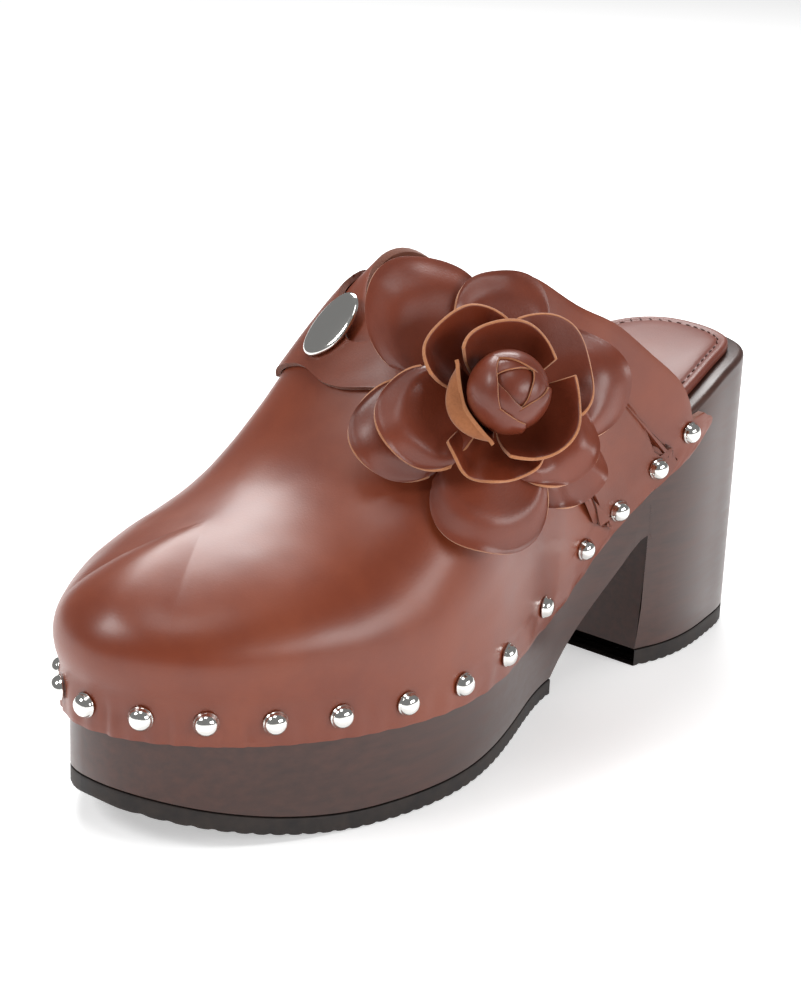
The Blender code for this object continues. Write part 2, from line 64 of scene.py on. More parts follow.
# station, outer and inner half width as shares of the ball width
planRows = (
    (0.000, 0.000, 0.000), (0.030, 0.268, 0.212), (0.100, 0.342, 0.326), (0.220, 0.356, 0.368),
    (0.360, 0.256, 0.310), (0.500, 0.372, 0.366), (0.640, 0.506, 0.474), (0.760, 0.500, 0.496),
    (0.870, 0.400, 0.420), (0.950, 0.258, 0.262), (0.985, 0.140, 0.150), (1.000, 0.000, 0.000),
)
# station, share of the climb from platform to heel
bedRows = (
    (0.00, 1.000), (0.10, 0.925), (0.20, 0.745), (0.25, 0.590), (0.30, 0.385),
    (0.35, 0.160), (0.40, 0.025), (0.46, 0.000), (0.70, 0.000), (1.00, 0.000),
)
# station, ridge height as a share of the vamp height, its sideways place, and two powers of the section
ridgeRows = (
    (0.15, 1.060, -0.010, 2.4, 2.3), (0.40, 1.090, -0.020, 2.4, 2.3), (0.48, 1.055, -0.025, 2.4, 2.3),
    (0.54, 0.970, -0.030, 2.4, 2.3), (0.62, 0.783, -0.035, 2.3, 2.2), (0.70, 0.535, -0.040, 2.2, 2.1),
    (0.78, 0.400, -0.045, 2.1, 2.1), (0.85, 0.345, -0.050, 2.1, 2.2),
)
# rise up the vamp (-1 at its lower edge, 0 at the rim, 1 on the ridge), stations of collar and band edges
guideRows = (
    (-1.00, 0.200, 0.235, 0.324), (-0.75, 0.166, 0.224, 0.318), (-0.50, 0.160, 0.227, 0.318),
    (-0.25, 0.174, 0.238, 0.322), (0.00, 0.200, 0.254, 0.335), (0.06, 0.222, 0.278, 0.354),
    (0.13, 0.256, 0.306, 0.392), (0.21, 0.290, 0.340, 0.458), (0.30, 0.325, 0.380, 0.534),
    (0.40, 0.370, 0.433, 0.598), (0.52, 0.430, 0.496, 0.630), (0.66, 0.514, 0.564, 0.648),
    (0.82, 0.574, 0.609, 0.662), (1.00, 0.612, 0.640, 0.678),
)


def curve(knots, values):  # natural cubic spline, held level beyond its ends
    x = np.array(knots, float)
    y = np.array(values, float)
    step = np.diff(x)
    end = len(x) - 1
    system = np.eye(len(x))
    right = np.zeros(len(x))
    for i in range(1, end):
        system[i, i - 1] = step[i - 1]
        system[i, i] = 2 * (step[i - 1] + step[i])
        system[i, i + 1] = step[i]
        right[i] = 6 * ((y[i + 1] - y[i]) / step[i] - (y[i] - y[i - 1]) / step[i - 1])
    bend = np.linalg.solve(system, right)

    def at(value):
        value = min(max(value, x[0]), x[-1])
        i = min(max(int(np.searchsorted(x, value)) - 1, 0), end - 1)
        a = (x[i + 1] - value) / step[i]
        b = (value - x[i]) / step[i]
        cubic = ((a ** 3 - a) * bend[i] + (b ** 3 - b) * bend[i + 1]) * step[i] ** 2 / 6
        return float(a * y[i] + b * y[i + 1] + cubic)

    return at


def columns(rows, *names):
    knots = [row[0] for row in rows]
    return [curve(knots, [row[names[i]] for row in rows]) for i in range(len(names))]


def smoothStep(value):
    value = min(max(value, 0.0), 1.0)
    return value * value * (3 - 2 * value)


def turnOf(station):
    return math.acos(1 - 2 * min(max(station, 0.0), 1.0))


def stationOf(turn):
    return (1 - math.cos(turn)) / 2


outerShare, innerShare = columns([(turnOf(row[0]), *row[1:]) for row in planRows], 1, 2)
bedClimb = columns(bedRows, 1)[0]
ridgeShare, ridgeAcross, ridgePower, ridgeRoot = columns(ridgeRows, 1, 2, 3, 4)
mirroredRows = [(2 - row[0], *row[1:]) for row in reversed(guideRows[-4:-1])]  # smooth over the ridge
collarLine, bandRear, bandFront = columns([*guideRows, *mirroredRows], 1, 2, 3)


def axisX(station):
    return last["toeLean"] * station ** 4


def placeY(station):
    return (last["restStation"] - station) * last["length"]


def stationAt(y):
    return last["restStation"] - y / last["length"]


@functools.lru_cache(maxsize=None)
def outlinePoint(angle):
    angle = angle % (2 * math.pi)
    side = 1 if angle <= math.pi else -1
    half = angle if side > 0 else 2 * math.pi - angle
    share = outerShare(half) if side > 0 else innerShare(half)
    station = stationOf(half)
    return Vector((axisX(station) + side * share * last["ballWidth"], placeY(station)))


@functools.lru_cache(maxsize=None)
def outwards(turn):
    along = outlinePoint(turn + 0.01) - outlinePoint(turn - 0.01)
    return Vector((-along.y, along.x)).normalized()


def outline(turn, out=0.0):
    return outlinePoint(turn) + outwards(turn) * out


@functools.lru_cache(maxsize=None)
def bedHeight(station):
    toe = max(0.0, (station - 0.65) / 0.35)
    climb = (last["heelHeight"] - last["platformHeight"]) * bedClimb(station)
    return last["platformHeight"] + climb + last["toeRise"] * toe ** 2


def floorHeight(station):
    toe = max(0.0, (station - 0.78) / 0.22)
    return last["toeSpring"] * toe ** 2


@functools.lru_cache(maxsize=None)
def ridgeHeight(station):
    return bedHeight(station) + last["vampHeight"] * ridgeShare(station)


@functools.lru_cache(maxsize=None)
def sectionFacts(turn):
    station = stationOf(turn if turn <= math.pi else 2 * math.pi - turn)
    past = max(0.0, (station - 0.55) / 0.45)
    at = station - 0.15 * past ** 2
    ridge = Vector((axisX(at) + ridgeAcross(at) * last["ballWidth"], placeY(at), ridgeHeight(at)))
    slope = (ridgeHeight(at - 0.01) - ridgeHeight(at + 0.01)) / (0.02 * last["length"])
    return station, ridge, slope, ridgePower(station), ridgeRoot(station)


def skin(turn, rise):  # the outside of the vamp
    station, ridge, slope, power, root = sectionFacts(turn)
    foot = outline(turn, last["gap"] + last["wall"])
    base = bedHeight(station)
    if rise <= 0:
        return Vector((foot.x, foot.y, base + last["flap"] * rise))
    back = math.cos(rise * math.pi / 2)
    arch = max(0.0, 1 - back ** power) ** (1 / root)
    spot = foot.lerp(ridge.xy, 1 - back)
    height = base + (ridge.z - base) * arch + slope * (spot.y - ridge.y) * (1 - back ** 2)
    amount = last["sideBulge"]
    amount += (last["toeBulge"] - last["sideBulge"]) * smoothStep((station - 0.6) / 0.35)
    spot = spot + outwards(turn) * (amount * 6.75 * rise * (1 - rise) ** 2)
    return Vector((spot.x, spot.y, height))


def skinNormal(turn, rise):
    if rise > 0.97:
        both = skinNormal(turn, 0.97) + skinNormal(2 * math.pi - turn, 0.97)
        return both.normalized()
    around = skin(turn + 0.01, rise) - skin(turn - 0.01, rise)
    up = skin(turn, rise + 0.01) - skin(turn, rise - 0.01)
    return up.cross(around).normalized()


def sideTurn(side, station):
    return turnOf(station) if side > 0 else 2 * math.pi - turnOf(station)


# Helpers for meshes


def newGrid(xCount, yCount, place):
    bm = bmesh.new()
    bmesh.ops.create_grid(bm, x_segments=xCount, y_segments=yCount, size=1, calc_uvs=False)
    for vert in bm.verts:
        vert.co = place((vert.co.x + 1) / 2, (vert.co.y + 1) / 2)
    return bm


def closeUp(bm, distance=0.00001):
    bmesh.ops.remove_doubles(bm, verts=bm.verts, dist=distance)
    bmesh.ops.dissolve_degenerate(bm, edges=bm.edges, dist=distance / 2)
    bmesh.ops.recalc_face_normals(bm, faces=bm.faces)


def newPiece(name, bm, paints, sharp=40):
    mesh = bpy.data.meshes.new(name)
    bm.to_mesh(mesh)
    bm.free()
    mesh.shade_smooth()
    mesh.set_sharp_from_angle(angle=math.radians(sharp))
    piece = bpy.data.objects.new(name, mesh)
    for paint in paints:
        mesh.materials.append(paint)
    bpy.context.scene.collection.objects.link(piece)
    return piece


def leatherWall(piece, thickness, offset, edge, sharp=50):
    # Gives a sheet its thickness and a softened cut edge, and keeps the result as its mesh.
    shell = piece.modifiers.new("thickness", "SOLIDIFY")
    shell.thickness = thickness
    shell.offset = offset
    shell.material_offset = 1
    shell.material_offset_rim = 2
    bevel = piece.modifiers.new("cut edge", "BEVEL")
    bevel.limit_method = "ANGLE"
    bevel.angle_limit = math.radians(60)
    bevel.width = edge
    bevel.segments = 2
    bpy.context.view_layer.update()
    settled = piece.evaluated_get(bpy.context.evaluated_depsgraph_get())
    mesh = bpy.data.meshes.new_from_object(settled)
    piece.modifiers.clear()
    old = piece.data
    piece.data = mesh
    bpy.data.meshes.remove(old)
    mesh.name = piece.name
    mesh.shade_smooth()
    mesh.set_sharp_from_angle(angle=math.radians(sharp))


def settle(piece, slotName, *nodes):
    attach(piece, "root")
    if nodes:
        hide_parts(*nodes)


# Materials


def nodeMaker(tree):
    def make(kind, **values):
        node = tree.nodes.new(kind)
        for key, value in values.items():
            setattr(node, key, value)
        return node
    return make


def newGroup(name, inputs, outputs):
    group = bpy.data.node_groups.new(name, "ShaderNodeTree")
    for label, kind, value in inputs:
        socket = group.interface.new_socket(label, in_out="INPUT", socket_type=kind)
        socket.default_value = value
    for label, kind in outputs:
        group.interface.new_socket(label, in_out="OUTPUT", socket_type=kind)
    return group, group.nodes.new("NodeGroupInput"), group.nodes.new("NodeGroupOutput")


def makeLeatherGroup():
    # Fine pores, a slow change of tone and soft rubbed patches, all from the piece's own position.
    group, source, target = newGroup(
        "leather surface",
        (
            ("Vector", "NodeSocketVector", (0, 0, 0)),
            ("Tone", "NodeSocketColor", (0.3, 0.1, 0.05, 1)),
            ("Deep Tone", "NodeSocketColor", (0.1, 0.03, 0.02, 1)),
            ("Grain", "NodeSocketFloat", 1.0),
            ("Gloss", "NodeSocketFloat", 0.36),
        ),
        (("Color", "NodeSocketColor"), ("Roughness", "NodeSocketFloat"), ("Height", "NodeSocketFloat")),
    )
    make = nodeMaker(group)
    link = group.links.new
    pores = make("ShaderNodeTexNoise")
    pores.inputs["Scale"].default_value = 2600
    pores.inputs["Detail"].default_value = 3
    link(source.outputs["Vector"], pores.inputs["Vector"])
    cells = make("ShaderNodeTexVoronoi", feature="DISTANCE_TO_EDGE")
    cells.inputs["Scale"].default_value = 900
    link(source.outputs["Vector"], cells.inputs["Vector"])
    slow = make("ShaderNodeTexNoise")
    slow.inputs["Scale"].default_value = 38
    slow.inputs["Detail"].default_value = 5
    slow.inputs["Roughness"].default_value = 0.6
    link(source.outputs["Vector"], slow.inputs["Vector"])
    spread = make("ShaderNodeMapRange")
    spread.inputs["From Min"].default_value = 0.34
    spread.inputs["From Max"].default_value = 0.66
    link(slow.outputs["Fac"], spread.inputs["Value"])
    tone = make("ShaderNodeMix", data_type="RGBA")
    link(spread.outputs["Result"], tone.inputs["Factor"])
    link(source.outputs["Deep Tone"], tone.inputs["A"])
    link(source.outputs["Tone"], tone.inputs["B"])
    link(tone.outputs["Result"], target.inputs["Color"])
    rub = make("ShaderNodeMath", operation="MULTIPLY_ADD")
    rub.inputs[1].default_value = 0.16
    link(slow.outputs["Fac"], rub.inputs[0])
    link(source.outputs["Gloss"], rub.inputs[2])
    fine = make("ShaderNodeMath", operation="MULTIPLY_ADD")
    fine.inputs[1].default_value = 0.10
    link(pores.outputs["Fac"], fine.inputs[0])
    link(rub.outputs[0], fine.inputs[2])
    link(fine.outputs[0], target.inputs["Roughness"])
    edges = make("ShaderNodeMapRange")
    edges.inputs["From Max"].default_value = 0.25
    link(cells.outputs["Distance"], edges.inputs["Value"])
    both = make("ShaderNodeMath", operation="MULTIPLY_ADD")
    both.inputs[1].default_value = 0.5
    link(edges.outputs["Result"], both.inputs[0])
    link(pores.outputs["Fac"], both.inputs[2])
    grain = make("ShaderNodeMath", operation="MULTIPLY")
    link(both.outputs[0], grain.inputs[0])
    link(source.outputs["Grain"], grain.inputs[1])
    link(grain.outputs[0], target.inputs["Height"])
    return group


def newPaint(name, **values):
    paint = bpy.data.materials.new(name)
    paint.use_nodes = True
    shader = paint.node_tree.nodes["Principled BSDF"]
    for key, value in values.items():
        shader.inputs[key.replace("_", " ")].default_value = value
    return paint, paint.node_tree, shader


leatherGroup = makeLeatherGroup()


def makeLeather(name, tone, deepTone, gloss, grain, bump, coat):
    paint, tree, shader = newPaint(
        name, Specular_IOR_Level=0.5, Coat_Weight=coat, Coat_Roughness=0.24, Coat_IOR=1.45,
    )
    make = nodeMaker(tree)
    place = make("ShaderNodeTexCoord")
    surface = make("ShaderNodeGroup")
    surface.node_tree = leatherGroup
    surface.inputs["Tone"].default_value = (*tone, 1)
    surface.inputs["Deep Tone"].default_value = (*deepTone, 1)
    surface.inputs["Gloss"].default_value = gloss
    surface.inputs["Grain"].default_value = grain
    tree.links.new(place.outputs["Object"], surface.inputs["Vector"])
    tree.links.new(surface.outputs["Color"], shader.inputs["Base Color"])
    tree.links.new(surface.outputs["Roughness"], shader.inputs["Roughness"])
    bumps = make("ShaderNodeBump")
    bumps.inputs["Strength"].default_value = bump
    bumps.inputs["Distance"].default_value = 0.0002
    tree.links.new(surface.outputs["Height"], bumps.inputs["Height"])
    tree.links.new(bumps.outputs["Normal"], shader.inputs["Normal"])
    return paint


def makeSuede(name, tone, deepTone):
    # The rough cut edge and underside of the leather.
    paint, tree, shader = newPaint(name, Roughness=0.9, Specular_IOR_Level=0.2, Sheen_Weight=0.25)
    make = nodeMaker(tree)
    place = make("ShaderNodeTexCoord")
    nap = make("ShaderNodeTexNoise")
    nap.inputs["Scale"].default_value = 1400
    nap.inputs["Detail"].default_value = 4
    tree.links.new(place.outputs["Object"], nap.inputs["Vector"])
    mix = make("ShaderNodeMix", data_type="RGBA")
    mix.inputs["A"].default_value = (*deepTone, 1)
    mix.inputs["B"].default_value = (*tone, 1)
    tree.links.new(nap.outputs["Fac"], mix.inputs["Factor"])
    tree.links.new(mix.outputs["Result"], shader.inputs["Base Color"])
    bumps = make("ShaderNodeBump")
    bumps.inputs["Strength"].default_value = 0.6
    bumps.inputs["Distance"].default_value = 0.0003
    tree.links.new(nap.outputs["Fac"], bumps.inputs["Height"])
    tree.links.new(bumps.outputs["Normal"], shader.inputs["Normal"])
    return paint


def makeWood(name):
    # Dark stained wood: long fibres along the sole, a reddish warmth and a satin finish.
    paint, tree, shader = newPaint(name, Specular_IOR_Level=0.45, Coat_Weight=0.25, Coat_Roughness=0.3)
    make = nodeMaker(tree)
    link = tree.links.new
    place = make("ShaderNodeTexCoord")
    stretch = make("ShaderNodeMapping")
    stretch.inputs["Scale"].default_value = (70, 5, 70)
    link(place.outputs["Object"], stretch.inputs["Vector"])
    fibres = make("ShaderNodeTexNoise")
    fibres.inputs["Scale"].default_value = 6
    fibres.inputs["Detail"].default_value = 8
    fibres.inputs["Roughness"].default_value = 0.62
    link(stretch.outputs["Vector"], fibres.inputs["Vector"])
    broad = make("ShaderNodeTexNoise")
    broad.inputs["Scale"].default_value = 16
    broad.inputs["Detail"].default_value = 3
    link(place.outputs["Object"], broad.inputs["Vector"])
    ramp = make("ShaderNodeValToRGB")
    ramp.color_ramp.elements[0].position = 0.30
    ramp.color_ramp.elements[0].color = (0.036, 0.0145, 0.0100, 1)
    ramp.color_ramp.elements[1].position = 0.72
    ramp.color_ramp.elements[1].color = (0.066, 0.0255, 0.0170, 1)
    link(fibres.outputs["Fac"], ramp.inputs["Fac"])
    warm = make("ShaderNodeMix", data_type="RGBA", blend_type="MULTIPLY")
    warm.inputs["Factor"].default_value = 0.7
    patch = make("ShaderNodeValToRGB")
    patch.color_ramp.elements[0].position = 0.36
    patch.color_ramp.elements[0].color = (0.86, 0.84, 0.84, 1)
    patch.color_ramp.elements[1].position = 0.66
    patch.color_ramp.elements[1].color = (1.12, 0.98, 0.96, 1)
    link(broad.outputs["Fac"], patch.inputs["Fac"])
    link(ramp.outputs["Color"], warm.inputs["A"])
    link(patch.outputs["Color"], warm.inputs["B"])
    link(warm.outputs["Result"], shader.inputs["Base Color"])
    satin = make("ShaderNodeMath", operation="MULTIPLY_ADD")
    satin.inputs[1].default_value = 0.22
    satin.inputs[2].default_value = 0.28
    link(fibres.outputs["Fac"], satin.inputs[0])
    link(satin.outputs[0], shader.inputs["Roughness"])
    bumps = make("ShaderNodeBump")
    bumps.inputs["Strength"].default_value = 0.12
    bumps.inputs["Distance"].default_value = 0.0003
    link(fibres.outputs["Fac"], bumps.inputs["Height"])
    link(bumps.outputs["Normal"], shader.inputs["Normal"])
    return paint


def makeRubber(name):
    paint, tree, shader = newPaint(name, Specular_IOR_Level=0.4)
    make = nodeMaker(tree)
    link = tree.links.new
    place = make("ShaderNodeTexCoord")
    dust = make("ShaderNodeTexNoise")
    dust.inputs["Scale"].default_value = 220
    dust.inputs["Detail"].default_value = 6
    link(place.outputs["Object"], dust.inputs["Vector"])
    ramp = make("ShaderNodeValToRGB")
    ramp.color_ramp.elements[0].position = 0.35
    ramp.color_ramp.elements[0].color = (0.011, 0.008, 0.0075, 1)
    ramp.color_ramp.elements[1].position = 0.75
    ramp.color_ramp.elements[1].color = (0.034, 0.024, 0.02, 1)
    link(dust.outputs["Fac"], ramp.inputs["Fac"])
    link(ramp.outputs["Color"], shader.inputs["Base Color"])
    dull = make("ShaderNodeMath", operation="MULTIPLY_ADD")
    dull.inputs[1].default_value = 0.25
    dull.inputs[2].default_value = 0.5
    link(dust.outputs["Fac"], dull.inputs[0])
    link(dull.outputs[0], shader.inputs["Roughness"])
    bumps = make("ShaderNodeBump")
    bumps.inputs["Strength"].default_value = 0.25
    bumps.inputs["Distance"].default_value = 0.0002
    link(dust.outputs["Fac"], bumps.inputs["Height"])
    link(bumps.outputs["Normal"], shader.inputs["Normal"])
    return paint


def makeMetal(name):
    paint, tree, shader = newPaint(name, Base_Color=(0.82, 0.81, 0.78, 1), Metallic=1.0)
    make = nodeMaker(tree)
    place = make("ShaderNodeTexCoord")
    rubbed = make("ShaderNodeTexNoise")
    rubbed.inputs["Scale"].default_value = 900
    rubbed.inputs["Detail"].default_value = 3
    tree.links.new(place.outputs["Object"], rubbed.inputs["Vector"])
    dull = make("ShaderNodeMath", operation="MULTIPLY_ADD")
    dull.inputs[1].default_value = 0.10
    dull.inputs[2].default_value = 0.06
    tree.links.new(rubbed.outputs["Fac"], dull.inputs[0])
    tree.links.new(dull.outputs[0], shader.inputs["Roughness"])
    return paint


vampLeather = makeLeather("vamp leather", (0.215, 0.040, 0.011), (0.170, 0.029, 0.009), 0.27, 0.6, 0.10, 0.25)
bandLeather = makeLeather("band leather", (0.205, 0.041, 0.014), (0.145, 0.028, 0.011), 0.30, 0.8, 0.16, 0.25)
petalLeather = makeLeather("petal leather", (0.195, 0.036, 0.013), (0.140, 0.025, 0.010), 0.28, 0.8, 0.14, 0.25)
liningLeather = makeLeather("lining leather", (0.20, 0.060, 0.030), (0.15, 0.045, 0.024), 0.42, 0.8, 0.12, 0.0)
insoleLeather = makeLeather("insole leather", (0.180, 0.044, 0.026), (0.145, 0.034, 0.021), 0.34, 0.9, 0.14, 0.1)
cutEdge = makeSuede("cut leather edge", (0.50, 0.22, 0.10), (0.34, 0.12, 0.05))
darkEdge = makeSuede("stained leather edge", (0.20, 0.055, 0.022), (0.12, 0.032, 0.014))
suede = makeSuede("suede underside", (0.42, 0.16, 0.065), (0.28, 0.10, 0.04))
thread = makeSuede("dark thread", (0.09, 0.028, 0.020), (0.05, 0.016, 0.012))
darkWood = makeWood("dark stained wood")
blackRubber = makeRubber("black rubber")
polishedMetal = makeMetal("polished metal")
print("materials made")


# Sole

sole = {
    "breast": 0.247,          # station of the heel's front face
    "lean": 0.0015,
    "treadEnd": 0.392,
    "tread": 0.0052,
    "heelTread": 0.0056,
    "arch": 0.0465,
    "archPower": 0.82,
    "cornerDrop": 0.0060,     # the arch's rounded corner beside the heel
    "cornerLength": 0.0042,
    "rimRound": 0.0018,
    "footRound": 0.0005,
    "ledge": 0.0085,
    "steps": 150,
}


def archHeight(station):
    run = (sole["treadEnd"] - station) / (sole["treadEnd"] - sole["breast"])
    run = min(max(run, 0.0), 1.0)
    height = sole["tread"] + (sole["arch"] - sole["tread"]) * (1 - (1 - run) ** sole["archPower"])
    near = 1 - (station - sole["breast"]) * last["length"] / sole["cornerLength"]
    if near > 0:
        height -= sole["cornerDrop"] * (1 - math.sqrt(max(0.0, 1 - min(near, 1.0) ** 2)))
    return height


def sideProfile(footRound, rimRound, ledge, steps=4):
    # From the foot of the side to the top: how far in, share of the height, extra height
    path = []
    for i in range(steps + 1):
        angle = math.pi / 2 * i / steps
        path.append((footRound * (1 - math.sin(angle)), 0, footRound * (1 - math.cos(angle))))
    for share in (0.2, 0.4, 0.6, 0.8):
        path.append((0.0, share, 0.0))
    for i in range(steps + 1):
        angle = math.pi / 2 * i / steps
        path.append((rimRound * (1 - math.cos(angle)), 1, -rimRound * (1 - math.sin(angle))))
    path.append((ledge, 1, 0.0))
    return path


def loft(cuts, profile):
    # Each cut is (top station, low station, low height, top height or None for the footbed).
    ring = [(-1, *point) for point in profile] + [(1, *point) for point in reversed(profile)]
    ring.append(ring[0])

    def place(u, v):
        top, low, lowHeight, topHeight = cuts[round(u * (len(cuts) - 1))]
        side, inset, share, extra = ring[round(v * (len(ring) - 1))]
        station = low + (top - low) * share
        spot = outline(sideTurn(side, station), -inset)
        high = bedHeight(stationAt(spot.y)) if topHeight is None else topHeight
        return Vector((spot.x, spot.y, lowHeight + (high - lowHeight) * share + extra))

    bm = newGrid(len(cuts) - 1, len(ring) - 1, place)
    closeUp(bm, 0.000002)
    return bm


def evenStations(first, end, count, extra=()):
    inner = [stationOf(math.pi * i / count) for i in range(count + 1)]
    kept = [s for s in inner if first + 0.001 < s < end - 0.001]
    return sorted([first, end, *kept, *extra])


def makeWoodSole():
    lean = sole["lean"] / last["length"]
    breast = sole["breast"]
    cuts = []
    for station in evenStations(0.0, 1.0, sole["steps"]):
        if breast - 4 * lean < station < breast + 0.020:
            continue
        low = sole["heelTread"] if station < breast else sole["tread"] + floorHeight(station)
        if breast < station < sole["treadEnd"]:
            low = archHeight(station)
        cuts.append((station, station, low, None))
    cuts.append((breast - 3 * lean, breast + lean, sole["heelTread"], None))
    for step in (0.0, 0.0004, 0.0010, 0.0018, 0.0028, 0.0042):
        station = breast + step / last["length"]
        cuts.append((station + lean, station - lean * (1 - step / 0.0042), archHeight(station), None))
    cuts.append((sole["treadEnd"], sole["treadEnd"], sole["tread"], None))
    profile = sideProfile(sole["footRound"], sole["rimRound"], sole["ledge"])
    piece = newPiece("woodSole", loft(sorted(cuts), profile), [darkWood], 35)
    settle(piece, "wood", "wood_sole")


treads = {
    "gap": 0.0003,
    "ribPitch": 0.0040,
    "ribDepth": 0.0004,
    "step": 0.00065,
}


def makeTreads():
    def ribbed(station):
        wave = 0.5 - 0.5 * math.cos(2 * math.pi * station * last["length"] / treads["ribPitch"])
        return treads["ribDepth"] * wave ** 3

    profile = sideProfile(0.0004, 0.0003, 0.004, 2)
    parts = (
        ("forefootTread", "forefoot_tread", sole["treadEnd"], 1.0, sole["tread"], floorHeight),
        ("heelTread", "heel_tread", 0.0, sole["breast"] + sole["lean"] / last["length"],
         sole["heelTread"], lambda station: 0.0),
    )
    for name, node, first, end, height, under in parts:
        count = int((end - first) * last["length"] / treads["step"])
        extra = [first + (end - first) * i / count for i in range(1, count)]
        cuts = []
        for station in evenStations(first, end, 60, extra):
            top = height + under(station) - treads["gap"]
            cuts.append((station, station, under(station) + ribbed(station), top))
        piece = newPiece(name, loft(cuts, profile), [blackRubber], 35)
        settle(piece, "rubber", node)


insole = {
    "inset": 0.0052,
    "gap": 0.0003,
    "thickness": 0.0030,
    "edgeRound": 0.0013,
    "stitchInset": 0.0032,    # from the insole's own edge
    "grooveDepth": 0.0005,
    "grooveWidth": 0.0009,
    "crown": 0.0006,
    "stitchPitch": 0.0031,
    "stitchLength": 0.0021,
}


def insoleHeight(inset):
    # Height of the padded top over its seat, by distance from the insole's edge
    groove = insole["grooveDepth"] * math.exp(-((inset - insole["stitchInset"]) / insole["grooveWidth"]) ** 2)
    swell = insole["crown"] * smoothStep((inset - insole["stitchInset"]) / 0.006)
    return insole["thickness"] + swell - groove


def makeInsole():
    edge = insole["edgeRound"]
    rim = [(edge * 0.3, 0.0), (0.0, edge * 0.4), (0.0, insole["thickness"] - edge)]
    for i in range(1, 5):
        angle = math.pi / 2 * i / 4
        rim.append((edge * (1 - math.cos(angle)), insole["thickness"] - edge * (1 - math.sin(angle))))
    for step in (0.0019, 0.0023, 0.0027, 0.0030, 0.0032, 0.0034, 0.0037, 0.0041, 0.0047, 0.006, 0.008, 0.0105):
        rim.append((step, insoleHeight(step)))
    ring = [(-1, *point) for point in rim] + [(1, *point) for point in reversed(rim)]
    ring.append(ring[0])
    stations = evenStations(0.0, 1.0, 150)

    def place(u, v):
        station = stations[round(u * (len(stations) - 1))]
        side, inset, height = ring[round(v * (len(ring) - 1))]
        spot = outline(sideTurn(side, station), -insole["inset"] - inset)
        return Vector((spot.x, spot.y, bedHeight(stationAt(spot.y)) + insole["gap"] + height))

    bm = newGrid(len(stations) - 1, len(ring) - 1, place)
    closeUp(bm, 0.000002)
    piece = newPiece("insole", bm, [insoleLeather], 60)
    settle(piece, "insole_leather", "insole")

    bm = bmesh.new()
    walk = 0.0
    turn = 0.0
    inset = insole["inset"] + insole["stitchInset"]
    while turn < 2 * math.pi:
        here = outline(turn, -inset)
        step = 0.002
        there = outline(turn + step, -inset)
        walk += (there - here).length
        turn += step
        if walk < insole["stitchPitch"]:
            continue
        walk = 0.0
        height = bedHeight(stationAt(there.y)) + insole["gap"] + insole["thickness"] - insole["grooveDepth"] * 0.7
        ahead = (there - here).to_3d()
        ahead.z = bedHeight(stationAt(there.y)) - bedHeight(stationAt(here.y))
        turned = ahead.to_track_quat("X", "Z").to_matrix().to_4x4()
        size = Matrix.Diagonal((insole["stitchLength"] / 2, 0.00030, 0.00024, 1))
        spot = Matrix.Translation((there.x, there.y, height)) @ turned @ size
        bmesh.ops.create_icosphere(bm, subdivisions=1, radius=1.0, matrix=spot)
    piece = newPiece("insoleStitches", bm, [thread], 60)
    settle(piece, "insole_leather")


makeWoodSole()
makeTreads()
makeInsole()
print("sole, treads and insole made")


# Upper

vamp = {
    "columns": 300,
    "lowRows": 9,
    "highRows": 46,
    "pucker": 0.00035,        # waves of the lower edge between the studs
    "cutRound": 0.0004,
}

# Soft troughs and ridges: side, start (station, rise), end (station, rise), half width, depth (ridge < 0)
creases = (
    (1, (0.66, -0.02), (0.36, 0.02), 0.0022, -0.0006),    # the bend over the wood's rim
    (1, (0.68, 0.10), (0.40, 0.09), 0.0042, 0.0007),
    (1, (0.62, 0.30), (0.47, 0.16), 0.0050, 0.0005),
    (1, (0.66, 0.46), (0.52, 0.30), 0.0045, 0.0005),
    (-1, (0.66, -0.02), (0.36, 0.02), 0.0022, -0.0005),
    (-1, (0.64, 0.40), (0.50, 0.24), 0.0050, 0.0005),
)
# Small tucks where the leather is pulled round the toe: side and station
tucks = ((1, 0.997), (1, 0.968), (1, 0.932), (1, 0.912), (-1, 0.985), (-1, 0.965), (-1, 0.930), (-1, 0.880))


def creaseLines():
    lines = []
    for side, start, end, width, depth in creases:
        points = []
        for i in range(7):
            t = i / 6
            station = start[0] + (end[0] - start[0]) * t
            rise = start[1] + (end[1] - start[1]) * t
            points.append(skin(sideTurn(side, station), rise))
        lines.append((points, width, depth))
    for side, station in tucks:
        turn = sideTurn(side, station)
        points = [skin(turn, -1.15 + 0.9 * i / 6) for i in range(7)]
        lines.append((points, 0.0009, 0.0007))
    return lines


vampCreases = creaseLines()


def relief(point, lines):
    total = 0.0
    for points, width, depth in lines:
        best = min((point - spot).length for spot in points)
        if best > 4 * width:
            continue
        nearest = 1.0
        along = 0.0
        for i, (a, b) in enumerate(zip(points, points[1:])):
            run = b - a
            t = min(max((point - a).dot(run) / run.length_squared, 0.0), 1.0)
            gap = (point - a - run * t).length
            if gap < nearest:
                nearest = gap
                along = (i + t) / (len(points) - 1)
        taper = math.sin(math.pi * min(max(0.06 + 0.88 * along, 0.0), 1.0)) ** 0.7
        total -= depth * taper * math.exp(-((nearest / width) ** 2))
    return total


def vampPoint(turn, rise):
    point = skin(turn, rise)
    slow = noise.noise(point * 45.0) * 0.00035 + noise.noise(point * 110.0) * 0.00010
    lift = relief(point, vampCreases) + slow * smoothStep((rise + 0.2) / 0.5)
    if rise < 0.12:
        wave = math.sin(point.x * 900 + point.y * 700) * 0.5 + noise.noise(point * 220.0)
        lift += vamp["pucker"] * wave * smoothStep(-(rise - 0.12) / 0.8)
    return point + skinNormal(turn, rise) * lift


